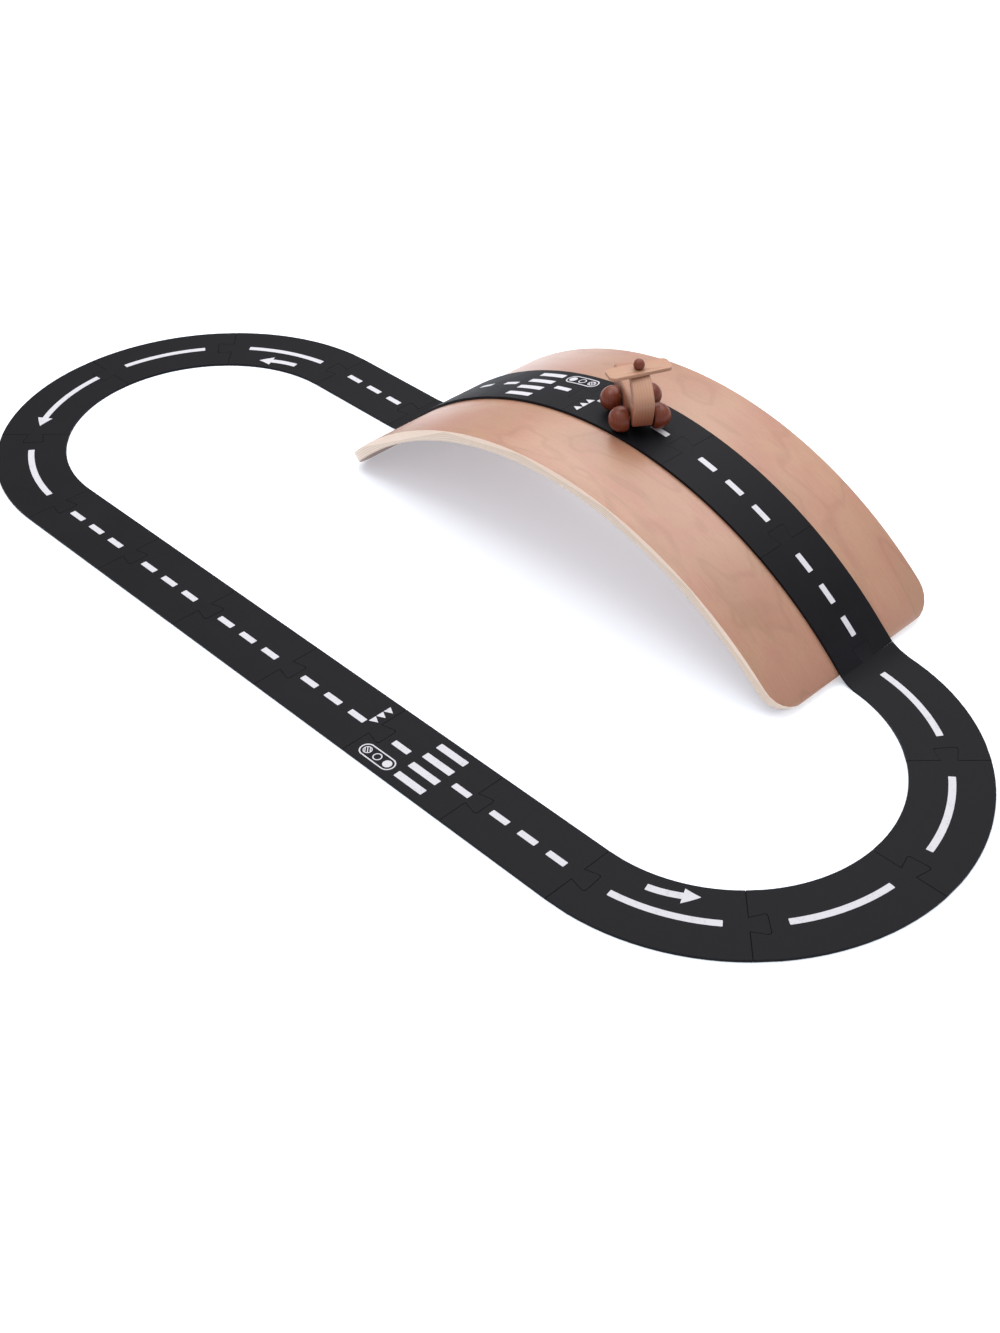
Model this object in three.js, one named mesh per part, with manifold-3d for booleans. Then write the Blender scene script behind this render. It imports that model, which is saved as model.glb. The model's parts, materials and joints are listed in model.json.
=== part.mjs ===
// Car track set: a closed loop of flexible road pieces that run over a bent plywood bridge,
// and a wooden vehicle with ball wheels and a spinning rotor standing on its crest.
// Millimetres, +Z up. Origin: middle of the bounding box on the floor. +X runs along the straights.

import * as THREE from 'three';
import { mergeVertices } from 'three/addons/utils/BufferGeometryUtils.js';
import Module from 'manifold-3d';

const wasm = await Module();
wasm.setup();

// Road pieces
const STRAIGHT_LENGTH = 164;
const ARCH_STRAIGHT_EXTRA = 8;
const CURVE_RADIUS = 246.5;
const CURVES_PER_END = 4;
const ROAD_WIDTH = 96;
const ROAD_THICKNESS = 3.5;
const TAB_NECK = 19;
const TAB_HEAD = 30;
const TAB_LENGTH = 21;
const TAB_ROUND = 5;
const SEAM_GAP = 0.4;
const FOOT_BEND_RADIUS = 50;

// Straight pieces in driving order: the front run, the longer ones that climb the board,
// and the rest of the back run before and after its short piece
const FRONT_RUN = [
  'front_road_1',
  'front_road_2',
  'front_road_3',
  'front_road_4',
  'front_crossing',
  'front_road_5',
];
const ARCH_RUN = ['arch_road_1', 'arch_road_2', 'arch_road_3'];
const BACK_RUN = ['arch_crossing'];
const BACK_RUN_END = ['ramp_road', 'back_road'];

// Bent plywood bridge
const BOARD_RADIUS = 538;
const BOARD_HALF_ANGLE = THREE.MathUtils.degToRad(46.7);
const BOARD_THICKNESS = 15;
const BOARD_WIDTH = 300;
const BOARD_CORNER_RADIUS = 38;
const BOARD_BEFORE_CURVE = 1.5;
const ROAD_BEHIND_BOARD_MIDDLE = 7;

// Vehicle, with lengths measured ahead of the middle of its wheels and heights above the road
const VEHICLE_HEADING = THREE.MathUtils.degToRad(-34);
const VEHICLE_PAST_CREST = 11.5;
const VEHICLE_BEFORE_ROAD_MIDDLE = 3.5;
const FUSELAGE_WIDTH = 26;
const UNDERSIDE_HEIGHT = 11;
const DECK_HEIGHT = 40;
const ROOF_HEIGHT = 72.5;
const ROOF_THICKNESS = 9;
const ROOF_LENGTH = 19;
const TAIL_REACH = 71;
const NOSE_FOOT = 40;
const NOSE_REACH = 48.5;
const NOSE_HEIGHT = 44;
const WALL_THICKNESS = 10;
const FUSELAGE_CORNER = 6;
const COCKPIT_CORNER = 4.5;
const FUSELAGE_EDGE = 2.5;
const WHEELBASE = 49;
const WHEEL_DIAMETER = 32.8;
const WHEEL_FLAT_DIAMETER = 29.4;
const WHEEL_TO_FUSELAGE = 3.1;
const AXLE_DIAMETER = 6;
const AXLE_PAST_WHEEL_MIDDLE = 6;
const ROTOR_AHEAD = 9.5;
const ROTOR_LENGTH = 84;
const ROTOR_WIDTH = 25;
const ROTOR_THICKNESS = 4.6;
const ROTOR_CORNER = 7;
const ROTOR_TURN = THREE.MathUtils.degToRad(11);
const ROTOR_EDGE = 0.5;
const PIN_DIAMETER = 5;
const PIN_IN_ROOF = 7;
const PIN_IN_KNOB = 8;
const KNOB_DIAMETER = 14.4;
const KNOB_FLAT_DIAMETER = 10.4;

// Clearances: pieces that rest or are glued, and pieces that turn
const REST_GAP = 0.3;
const RUNNING_GAP = 0.4;

// Facets, and how near two corners are one
const BEND_STEP = 14;
const BOARD_STEPS = 44;
const CORNER_STEPS = 6;
const EDGE_STEPS = 3;
const ROUND_SIDES = 20;
const BALL_RINGS = 16;
const BALL_SIDES = 28;
const WELD = 1e-4;

const rubber = new THREE.MeshStandardMaterial({ color: 0x2b2b2f, roughness: 0.75, metalness: 0 });
const plywood = new THREE.MeshStandardMaterial({ color: 0xd2a78f, roughness: 0.55, metalness: 0 });
const beech = new THREE.MeshStandardMaterial({ color: 0xd8ae92, roughness: 0.5, metalness: 0 });
const stainedBeech = new THREE.MeshStandardMaterial({ color: 0x7a4a3b, roughness: 0.4, metalness: 0 });

// Places that follow from the sizes
const straightRun = FRONT_RUN.length * STRAIGHT_LENGTH;
const archStraightLength = STRAIGHT_LENGTH + ARCH_STRAIGHT_EXTRA;
const halfTurn = Math.PI * CURVE_RADIUS;
const curveLength = halfTurn / CURVES_PER_END;
const backFromFront = 2 * CURVE_RADIUS;
const boardMiddleFromFront = backFromFront - ROAD_BEHIND_BOARD_MIDDLE;
const depth = ROAD_WIDTH / 2 + boardMiddleFromFront + BOARD_WIDTH / 2;
const frontY = ROAD_WIDTH / 2 - depth / 2;
const backY = frontY + backFromFront;
const boardY = frontY + boardMiddleFromFront;
const boardReach = BOARD_RADIUS * Math.sin(BOARD_HALF_ANGLE);
const bridgeX = straightRun / 2 - BOARD_BEFORE_CURVE - boardReach;
const bridgeAxisZ = -(BOARD_RADIUS - BOARD_THICKNESS) * Math.cos(BOARD_HALF_ANGLE);
const roadRadius = BOARD_RADIUS + REST_GAP;

// Plan of the road's centre line: front straight, right half turn, back straight, left half turn
function planAt(u) {
  const right = straightRun / 2;
  if (u < straightRun) return { x: u - right, y: frontY, heading: 0 };
  if (u < straightRun + halfTurn) {
    const turn = (u - straightRun) / CURVE_RADIUS;
    const x = right + CURVE_RADIUS * Math.sin(turn);
    return { x, y: frontY + CURVE_RADIUS * (1 - Math.cos(turn)), heading: turn };
  }
  if (u < 2 * straightRun + halfTurn) {
    return { x: right - (u - straightRun - halfTurn), y: backY, heading: Math.PI };
  }
  const turn = (u - 2 * straightRun - halfTurn) / CURVE_RADIUS;
  const x = -right - CURVE_RADIUS * Math.sin(turn);
  return { x, y: backY - CURVE_RADIUS * (1 - Math.cos(turn)), heading: Math.PI + turn };
}

// Height of the road's underside over the bridge: a hollow bend at each foot, tangent to the floor
// and to the board, and the board's own round between them
const bendMiddle = FOOT_BEND_RADIUS - bridgeAxisZ;
const climbAngle = Math.acos(bendMiddle / (roadRadius + FOOT_BEND_RADIUS));
const climbReach = (roadRadius + FOOT_BEND_RADIUS) * Math.sin(climbAngle);
const climbStart = straightRun + halfTurn + straightRun / 2 - bridgeX - climbReach;
const footBend = FOOT_BEND_RADIUS * climbAngle;
const overBoard = 2 * roadRadius * climbAngle;
const overBridge = 2 * footBend + overBoard;
const loopLength = 2 * straightRun + 2 * halfTurn + overBridge - 2 * climbReach;

// Plan distance u, height z and climb angle at the distance s along the road
function profileAt(s) {
  const d = s - climbStart;
  if (d <= 0) return { u: s, z: 0, climb: 0 };
  if (d >= overBridge) return { u: s - overBridge + 2 * climbReach, z: 0, climb: 0 };
  const crest = climbStart + climbReach;
  if (d < footBend || d > overBridge - footBend) {
    const side = d < footBend ? -1 : 1;
    const bend = (side < 0 ? d : overBridge - d) / FOOT_BEND_RADIUS;
    const out = climbReach - FOOT_BEND_RADIUS * Math.sin(bend);
    return { u: crest + side * out, z: FOOT_BEND_RADIUS * (1 - Math.cos(bend)), climb: -side * bend };
  }
  const around = (d - overBridge / 2) / roadRadius;
  return {
    u: crest + roadRadius * Math.sin(around),
    z: bridgeAxisZ + roadRadius * Math.cos(around),
    climb: -around,
  };
}

// Point of the road at s along it, t to its left and h above its underside
function roadPoint(s, t, h) {
  const { u, z, climb } = profileAt(s);
  const { x, y, heading } = planAt(u);
  const ahead = new THREE.Vector3(Math.cos(heading), Math.sin(heading), 0);
  const left = new THREE.Vector3(-ahead.y, ahead.x, 0);
  const up = new THREE.Vector3(0, 0, Math.cos(climb)).addScaledVector(ahead, -Math.sin(climb));
  return new THREE.Vector3(x, y, z).addScaledVector(left, t).addScaledVector(up, h);
}

// A closed slab over plane cells that share whole edges: each cell is a counter-clockwise outline
// in (s, t), and place(s, t, face) gives the point on the lower (0) or upper (1) face
function slab(cells, place) {
  const keys = new Map();
  const corners = [];
  const indexOf = ({ x, y }) => {
    const key = `${x.toFixed(5)} ${y.toFixed(5)}`;
    if (!keys.has(key)) keys.set(key, corners.push({ x, y }) - 1);
    return keys.get(key);
  };
  const triangles = [];
  const edges = new Set();
  for (const cell of cells) {
    const ring = cell.map(indexOf);
    for (const [a, b, c] of THREE.ShapeUtils.triangulateShape(cell, [])) {
      triangles.push([ring[a], ring[b], ring[c]]);
    }
    ring.forEach((a, i) => edges.add(`${a} ${ring[(i + 1) % ring.length]}`));
  }
  const count = corners.length;
  const index = triangles.flatMap(([a, b, c]) => [a + count, b + count, c + count, c, b, a]);
  for (const edge of edges) {
    const [a, b] = edge.split(' ').map(Number);
    if (!edges.has(`${b} ${a}`)) index.push(a, b, b + count, a, b + count, a + count);
  }
  const points = [0, 1].flatMap((face) => corners.map(({ x, y }) => place(x, y, face)));
  const geometry = new THREE.BufferGeometry().setFromPoints(points);
  geometry.setIndex(index);
  return geometry;
}

// Outline of the dovetail tab from its right root to its left root, grown all round by gap
function tabOutline(seam, root, gap) {
  const neck = TAB_NECK / 2 + gap;
  const head = TAB_HEAD / 2 + gap;
  const tip = seam + TAB_LENGTH + gap;
  const flank = new THREE.Vector2(tip - root, head - neck).setLength(TAB_ROUND);
  const outline = new THREE.Path();
  outline.moveTo(root, -neck);
  outline.lineTo(tip - flank.x, -head + flank.y);
  outline.quadraticCurveTo(tip, -head, tip, -head + TAB_ROUND);
  outline.lineTo(tip, head - TAB_ROUND);
  outline.quadraticCurveTo(tip, head, tip - flank.x, head - flank.y);
  outline.lineTo(root, neck);
  return outline.getPoints(CORNER_STEPS);
}

// True where the road from s0 to s1 neither turns nor climbs
function runsStraight(s0, s1) {
  const steps = [0, 0.25, 0.5, 0.75, 1].map((share) => profileAt(s0 + share * (s1 - s0)));
  const headings = steps.map(({ u }) => planAt(u).heading);
  return steps.every(({ climb }, i) => climb === 0 && headings[i] === headings[0]);
}

// One road piece from seam s0 to seam s1: socket end, body and tab end
function roadGeometry(s0, s1) {
  const half = ROAD_WIDTH / 2;
  const start = s0 + SEAM_GAP / 2;
  const end = s1 - SEAM_GAP / 2;
  const socketDepth = TAB_LENGTH + 2 * SEAM_GAP + TAB_ROUND / 2;
  const bodyStart = s0 + socketDepth;
  const tabRun = s1 + TAB_LENGTH;
  const steps = runsStraight(s0, tabRun) ? 1 : Math.ceil((end - bodyStart) / BEND_STEP);
  const stations = Array.from({ length: steps + 1 }, (_, i) => bodyStart + (i * (end - bodyStart)) / steps);
  const v = (x, y) => new THREE.Vector2(x, y);
  const socket = tabOutline(s0, start, SEAM_GAP).reverse();
  const cells = [[v(start, -half), v(bodyStart, -half), v(bodyStart, half), v(start, half), ...socket]];
  for (let i = 0; i < steps; i += 1) {
    const [a, b] = [stations[i], stations[i + 1]];
    const tab = i === steps - 1 ? tabOutline(s1, end, 0) : [];
    cells.push([v(a, -half), v(b, -half), ...tab, v(b, half), v(a, half)]);
  }
  return slab(cells, (s, t, face) => roadPoint(s % loopLength, t, face * ROAD_THICKNESS));
}

function named(name, geometry, material) {
  const mesh = new THREE.Mesh(geometry, material);
  mesh.name = name;
  return mesh;
}

// A road piece as a mesh that stands at its own start, turned to its own heading
function roadPiece(name, s0, s1) {
  const { u, z } = profileAt(s0);
  const { x, y, heading } = planAt(u);
  const mesh = named(name, roadGeometry(s0, s1), rubber);
  mesh.position.set(x, y, z);
  mesh.rotation.z = heading;
  mesh.updateMatrix();
  mesh.geometry.applyMatrix4(mesh.matrix.clone().invert());
  return mesh;
}

// The loop of road pieces in driving order, with the short piece as long as the loop still needs
function road() {
  const straight = (name) => [name, STRAIGHT_LENGTH];
  const climbing = (name) => [name, archStraightLength];
  const curves = (side) =>
    Array.from({ length: CURVES_PER_END }, (_, i) => [`${side}_curve_${i + 1}`, curveLength]);
  const before = [
    ...FRONT_RUN.map(straight),
    ...curves('right'),
    ...ARCH_RUN.map(climbing),
    ...BACK_RUN.map(straight),
  ];
  const after = [...BACK_RUN_END.map(straight), ...curves('left')];
  const laid = [...before, ...after].reduce((sum, [, length]) => sum + length, 0);
  const group = new THREE.Group();
  let s = 0;
  for (const [name, length] of [...before, ['arch_short_road', loopLength - laid], ...after]) {
    group.add(roadPiece(name, s, s + length));
    s += length;
  }
  return group;
}

// Bent board: a sheet with round corners, rolled round the bridge's axis and cut square at its ends
function archBoard() {
  const halfLength = BOARD_RADIUS * BOARD_HALF_ANGLE;
  const inset = (angle) => BOARD_CORNER_RADIUS * (1 - Math.sin(angle));
  const quarter = Array.from({ length: CORNER_STEPS + 1 }, (_, i) => (i / CORNER_STEPS) * (Math.PI / 2));
  const corner = quarter.map((angle) => ({
    s: halfLength - BOARD_CORNER_RADIUS * (1 - Math.cos(angle)),
    half: BOARD_WIDTH / 2 - inset(angle),
  }));
  const flat = halfLength - BOARD_CORNER_RADIUS;
  const middle = Array.from({ length: BOARD_STEPS - 1 }, (_, i) => ({
    s: flat * ((2 * (i + 1)) / BOARD_STEPS - 1),
    half: BOARD_WIDTH / 2,
  }));
  const leftCorner = corner.map(({ s, half }) => ({ s: -s, half }));
  const stations = [...leftCorner, ...middle, ...corner.toReversed()];
  const cells = stations.slice(1).map((b, i) => {
    const a = stations[i];
    const ring = [[a.s, -a.half], [b.s, -b.half], [b.s, b.half], [a.s, a.half]];
    return ring.map(([x, y]) => new THREE.Vector2(x, y));
  });
  const geometry = slab(cells, (s, t, face) => {
    const radius = BOARD_RADIUS - BOARD_THICKNESS * (1 - face);
    const angle = s / BOARD_RADIUS;
    return new THREE.Vector3(radius * Math.sin(angle), t, radius * Math.cos(angle));
  });
  const board = named('arch_board', geometry, plywood);
  board.position.set(bridgeX, boardY, bridgeAxisZ);
  return board;
}

// Solid for joining and cutting, and back
function toSolid(geometry) {
  const bare = geometry.clone();
  bare.deleteAttribute('normal');
  bare.deleteAttribute('uv');
  const welded = mergeVertices(bare, WELD);
  return new wasm.Manifold(
    new wasm.Mesh({
      numProp: 3,
      vertProperties: Float32Array.from(welded.attributes.position.array),
      triVerts: Uint32Array.from(welded.index.array),
    }),
  );
}

function fromSolid(solid) {
  const { vertProperties, triVerts } = solid.getMesh();
  const geometry = new THREE.BufferGeometry();
  geometry.setAttribute('position', new THREE.BufferAttribute(vertProperties, 3));
  geometry.setIndex(new THREE.BufferAttribute(triVerts, 1));
  return geometry;
}

// A dowel along +Z from the origin
function dowel(diameter, length) {
  const geometry = new THREE.CylinderGeometry(diameter / 2, diameter / 2, length, ROUND_SIDES);
  return geometry.rotateX(Math.PI / 2).translate(0, 0, length / 2);
}

// A ball about the origin, cut flat below, with a round hole from the flat up to holeTop
function boredBall(diameter, holeDiameter, holeTop, flatDiameter) {
  const radius = diameter / 2;
  const low = Math.asin(flatDiameter / diameter);
  const profile = [
    new THREE.Vector2(0, holeTop),
    new THREE.Vector2(holeDiameter / 2, holeTop),
    new THREE.Vector2(holeDiameter / 2, -radius * Math.cos(low)),
  ];
  for (let i = 0; i <= BALL_RINGS; i += 1) {
    const angle = low + (i / BALL_RINGS) * (Math.PI - low);
    const out = i < BALL_RINGS ? radius * Math.sin(angle) : 0;
    profile.push(new THREE.Vector2(out, -radius * Math.cos(angle)));
  }
  return new THREE.LatheGeometry(profile, BALL_SIDES).rotateX(Math.PI / 2);
}

// Heights and lengths inside the vehicle
const axleHeight = WHEEL_DIAMETER / 2;
const wheelFlatDrop = Math.sqrt(WHEEL_DIAMETER ** 2 - WHEEL_FLAT_DIAMETER ** 2) / 2;
const track = FUSELAGE_WIDTH + 2 * (WHEEL_TO_FUSELAGE + wheelFlatDrop);
const rotorHeight = ROOF_HEIGHT + REST_GAP;
const knobFlatDrop = Math.sqrt(KNOB_DIAMETER ** 2 - KNOB_FLAT_DIAMETER ** 2) / 2;
const knobHeight = rotorHeight + ROTOR_THICKNESS + RUNNING_GAP + knobFlatDrop;
const pinFoot = ROOF_HEIGHT - PIN_IN_ROOF;
const pinTop = knobHeight - knobFlatDrop + PIN_IN_KNOB;

// Side view of the fuselage: deck, round nose, raked windscreen and a roof over the open cockpit
function fuselageProfile() {
  const roofFront = ROTOR_AHEAD + ROOF_LENGTH / 2;
  const roofBack = ROTOR_AHEAD - ROOF_LENGTH / 2;
  const ceiling = ROOF_HEIGHT - ROOF_THICKNESS;
  const noseRise = NOSE_HEIGHT - UNDERSIDE_HEIGHT;
  const wallFoot = NOSE_REACH - WALL_THICKNESS;
  const roofEnd = ROOF_THICKNESS / 2;
  const c = FUSELAGE_CORNER;
  const k = COCKPIT_CORNER;
  const shape = new THREE.Shape();
  shape.moveTo(-TAIL_REACH + c, UNDERSIDE_HEIGHT);
  shape.lineTo(NOSE_FOOT - c, UNDERSIDE_HEIGHT);
  shape.quadraticCurveTo(NOSE_FOOT, UNDERSIDE_HEIGHT, NOSE_FOOT + c / 4, UNDERSIDE_HEIGHT + c);
  shape.quadraticCurveTo(NOSE_REACH, NOSE_HEIGHT - noseRise / 3, NOSE_REACH, NOSE_HEIGHT);
  const brow = { x: roofFront + c, y: ROOF_HEIGHT - c / 2 };
  shape.bezierCurveTo(NOSE_REACH, ceiling - c, brow.x, brow.y, roofFront - k, ROOF_HEIGHT);
  shape.lineTo(roofBack + roofEnd, ROOF_HEIGHT);
  shape.quadraticCurveTo(roofBack, ROOF_HEIGHT, roofBack, ceiling + roofEnd);
  shape.quadraticCurveTo(roofBack, ceiling, roofBack + roofEnd, ceiling);
  shape.lineTo(ROTOR_AHEAD, ceiling);
  shape.quadraticCurveTo(roofFront - k, ceiling, roofFront - k / 2, ceiling - k);
  shape.lineTo(wallFoot - k / 2, DECK_HEIGHT + k);
  shape.quadraticCurveTo(wallFoot, DECK_HEIGHT, wallFoot - k, DECK_HEIGHT);
  shape.lineTo(-TAIL_REACH + c, DECK_HEIGHT);
  shape.quadraticCurveTo(-TAIL_REACH, DECK_HEIGHT, -TAIL_REACH, DECK_HEIGHT - c);
  shape.lineTo(-TAIL_REACH, UNDERSIDE_HEIGHT + c);
  shape.quadraticCurveTo(-TAIL_REACH, UNDERSIDE_HEIGHT, -TAIL_REACH + c, UNDERSIDE_HEIGHT);
  return shape;
}

// A block with the given outline, softened along its edges, from z = 0 up
function block(shape, thickness, edge) {
  const geometry = new THREE.ExtrudeGeometry(shape, {
    depth: thickness - 2 * edge,
    curveSegments: CORNER_STEPS,
    bevelSize: edge,
    bevelThickness: edge,
    bevelOffset: -edge,
    bevelSegments: EDGE_STEPS,
  });
  return geometry.translate(0, 0, edge);
}

function fuselage() {
  const upright = block(fuselageProfile(), FUSELAGE_WIDTH, FUSELAGE_EDGE)
    .rotateX(Math.PI / 2)
    .translate(0, FUSELAGE_WIDTH / 2, 0);
  const through = FUSELAGE_WIDTH + 2 * FUSELAGE_EDGE;
  let solid = toSolid(upright);
  for (const end of [1, -1]) {
    const bore = dowel(AXLE_DIAMETER + 2 * RUNNING_GAP, through)
      .rotateX(Math.PI / 2)
      .translate((end * WHEELBASE) / 2, through / 2, axleHeight);
    solid = solid.subtract(toSolid(bore));
  }
  const pinHole = dowel(PIN_DIAMETER + 2 * REST_GAP, PIN_IN_ROOF + REST_GAP + FUSELAGE_EDGE);
  pinHole.translate(ROTOR_AHEAD, 0, pinFoot - REST_GAP);
  return named('fuselage', fromSolid(solid.subtract(toSolid(pinHole))), beech);
}

function rotorBlade() {
  const [x, y, r] = [ROTOR_WIDTH / 2, ROTOR_LENGTH / 2, ROTOR_CORNER];
  const shape = new THREE.Shape();
  shape.absarc(x - r, y - r, r, 0, Math.PI / 2);
  shape.absarc(-x + r, y - r, r, Math.PI / 2, Math.PI);
  shape.absarc(-x + r, -y + r, r, Math.PI, 1.5 * Math.PI);
  shape.absarc(x - r, -y + r, r, 1.5 * Math.PI, 2 * Math.PI);
  const plank = toSolid(block(shape, ROTOR_THICKNESS, ROTOR_EDGE));
  const hole = dowel(PIN_DIAMETER + 2 * RUNNING_GAP, ROTOR_THICKNESS + 2 * ROTOR_EDGE);
  const blade = fromSolid(plank.subtract(toSolid(hole.translate(0, 0, -ROTOR_EDGE))));
  const mesh = named('rotor_blade', blade, beech);
  mesh.position.set(ROTOR_AHEAD, 0, rotorHeight);
  mesh.rotation.z = ROTOR_TURN;
  return mesh;
}

function rotorPinAndKnob() {
  const pin = named('rotor_pin', dowel(PIN_DIAMETER, pinTop - pinFoot - REST_GAP), beech);
  pin.position.set(ROTOR_AHEAD, 0, pinFoot);
  const holeTop = PIN_IN_KNOB - knobFlatDrop;
  const ball = boredBall(KNOB_DIAMETER, PIN_DIAMETER + 2 * REST_GAP, holeTop, KNOB_FLAT_DIAMETER);
  const knob = named('rotor_knob', ball, stainedBeech);
  knob.position.set(ROTOR_AHEAD, 0, knobHeight);
  return [pin, knob];
}

// An axle with a ball wheel at each end, about the origin
function wheelSet(end) {
  const group = new THREE.Group();
  const axleLength = track + 2 * AXLE_PAST_WHEEL_MIDDLE;
  const rod = dowel(AXLE_DIAMETER, axleLength).translate(0, 0, -axleLength / 2).rotateX(Math.PI / 2);
  group.add(named(`${end}_axle`, rod, beech));
  for (const [side, sign] of [['left', 1], ['right', -1]]) {
    const hole = AXLE_DIAMETER + 2 * REST_GAP;
    const holeTop = AXLE_PAST_WHEEL_MIDDLE + REST_GAP;
    const ball = boredBall(WHEEL_DIAMETER, hole, holeTop, WHEEL_FLAT_DIAMETER);
    const wheel = named(`${end}_${side}_wheel`, ball, stainedBeech);
    wheel.rotation.x = (-sign * Math.PI) / 2;
    wheel.position.y = (sign * track) / 2;
    group.add(wheel);
  }
  return group;
}

// The vehicle stands on the road near the crest of the bridge, square to the board under it
function vehicle() {
  const group = new THREE.Group();
  group.add(fuselage(), rotorBlade(), ...rotorPinAndKnob());
  for (const [end, sign] of [['front', 1], ['rear', -1]]) {
    const set = wheelSet(end);
    set.position.set((sign * WHEELBASE) / 2, 0, axleHeight);
    group.add(set);
  }
  const ahead = (WHEELBASE / 2) * Math.cos(VEHICLE_HEADING);
  const aside = (track / 2) * Math.abs(Math.sin(VEHICLE_HEADING));
  const roadTop = roadRadius + ROAD_THICKNESS;
  const wheelMiddle = Math.sqrt((roadTop + REST_GAP + WHEEL_DIAMETER / 2) ** 2 - (ahead - aside) ** 2);
  group.position.z = wheelMiddle - axleHeight;
  group.rotation.z = VEHICLE_HEADING;
  const stand = new THREE.Group();
  stand.position.set(bridgeX, backY - VEHICLE_BEFORE_ROAD_MIDDLE, bridgeAxisZ);
  stand.rotation.y = VEHICLE_PAST_CREST / roadTop;
  return stand.add(group);
}

const trackSet = new THREE.Group();
trackSet.add(road(), archBoard(), vehicle());

export default trackSet;
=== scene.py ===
"""Car track set: moulded rubber road over a bent plywood bridge, with a beech vehicle on its crest.

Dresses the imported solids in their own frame: metres, +Z up, +X along the straights.
"""

import contextlib
import functools
import json
import logging
import math
from collections.abc import Callable, Iterable, Iterator
from dataclasses import dataclass, field, replace
from enum import Enum

import bpy
from mathutils import Matrix, Vector


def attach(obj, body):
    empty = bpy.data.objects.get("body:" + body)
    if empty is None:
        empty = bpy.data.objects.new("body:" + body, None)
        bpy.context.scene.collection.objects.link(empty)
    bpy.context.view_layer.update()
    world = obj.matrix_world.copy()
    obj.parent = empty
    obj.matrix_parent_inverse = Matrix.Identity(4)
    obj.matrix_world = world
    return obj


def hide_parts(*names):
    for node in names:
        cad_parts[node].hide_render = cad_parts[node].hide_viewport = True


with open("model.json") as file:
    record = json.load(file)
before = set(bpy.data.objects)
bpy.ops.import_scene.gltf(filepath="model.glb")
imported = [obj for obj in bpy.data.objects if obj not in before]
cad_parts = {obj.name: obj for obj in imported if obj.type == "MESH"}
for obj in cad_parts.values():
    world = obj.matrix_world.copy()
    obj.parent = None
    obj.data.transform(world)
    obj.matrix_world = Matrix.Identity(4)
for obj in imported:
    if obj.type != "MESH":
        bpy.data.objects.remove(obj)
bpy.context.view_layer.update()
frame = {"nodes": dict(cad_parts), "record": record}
BODIES = {
    node: body
    for body, nodes in frame["record"]["behaviour"]["bodies"].items()
    for node in nodes
}

MM = 0.001
WELD = 0.004 * MM
FLAT_DEGREES = 0.2
log = logging.getLogger("car_track_set")

Pair = tuple[float, float]
Triple = tuple[float, float, float]
Piece = bpy.types.Object
Socket = bpy.types.NodeSocket
Adder = Callable[..., bpy.types.Node]


def linear(code: str) -> tuple[float, float, float, float]:
    """Turn an sRGB hex colour into linear RGBA.

    Args:
        code: colour as #RRGGBB.

    Returns:
        Linear red, green, blue and an alpha of one.
    """
    shares = [int(code[i : i + 2], 16) / 255 for i in (1, 3, 5)]
    red, green, blue = (
        v / 12.92 if v <= 0.04045 else ((v + 0.055) / 1.055) ** 2.4 for v in shares
    )
    return red, green, blue, 1.0


def add_node(
    tree: bpy.types.NodeTree, kind: str, inputs: dict | None = None, **settings: object
) -> bpy.types.Node:
    """Add a shader node with its settings, values and links.

    Args:
        tree: node tree of the material or world.
        kind: Blender's name for the kind of node, without ShaderNode before it.
        inputs: socket name or number to a value, to the output that feeds it, or to a node
            that feeds it by its first output.
        **settings: properties of the node itself.

    Returns:
        The new node.
    """
    node = tree.nodes.new(f"ShaderNode{kind}")
    for key, value in settings.items():
        setattr(node, key, value)
    for key, value in (inputs or {}).items():
        source = value.outputs[0] if isinstance(value, bpy.types.Node) else value
        if isinstance(source, Socket):
            tree.links.new(source, node.inputs[key])
        else:
            node.inputs[key].default_value = source
    return node


def fresh_material(name: str) -> tuple[bpy.types.Material, Adder]:
    """Start an empty node material.

    Args:
        name: the real material's name.

    Returns:
        The material, and add_node for its tree.
    """
    material = bpy.data.materials.new(name)
    material.use_nodes = True
    material.node_tree.nodes.clear()
    return material, functools.partial(add_node, material.node_tree)


def per_metre(*sizes_mm: float) -> Triple:
    """Scale of a pattern whose cells have these sizes in millimetres along X, Y and Z."""
    x, y, z = (1 / (size * MM) for size in sizes_mm)
    return x, y, z


@dataclass(frozen=True)
class Tint:
    """Colour that a pattern lays over another: none of it at low, its full share at high."""

    code: str
    low: float
    high: float
    share: float = 1.0

    def over(self, add: Adder, colour: object, pattern: object) -> tuple[Socket, Socket]:
        """Lay the tint over a colour.

        Args:
            add: adds a node to the material's tree.
            colour: the linear colour below, or the output that gives it.
            pattern: node or output whose value says where the tint lies.

        Returns:
            The outputs of the new colour and of the tint's mask.
        """
        reach = {"From Min": self.low, "From Max": self.high, "To Max": self.share}
        mask = add("MapRange", {"Value": pattern, **reach}).outputs["Result"]
        mix = add("Mix", {0: mask, 6: colour, 7: linear(self.code)}, data_type="RGBA")
        return mix.outputs[2], mask


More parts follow.
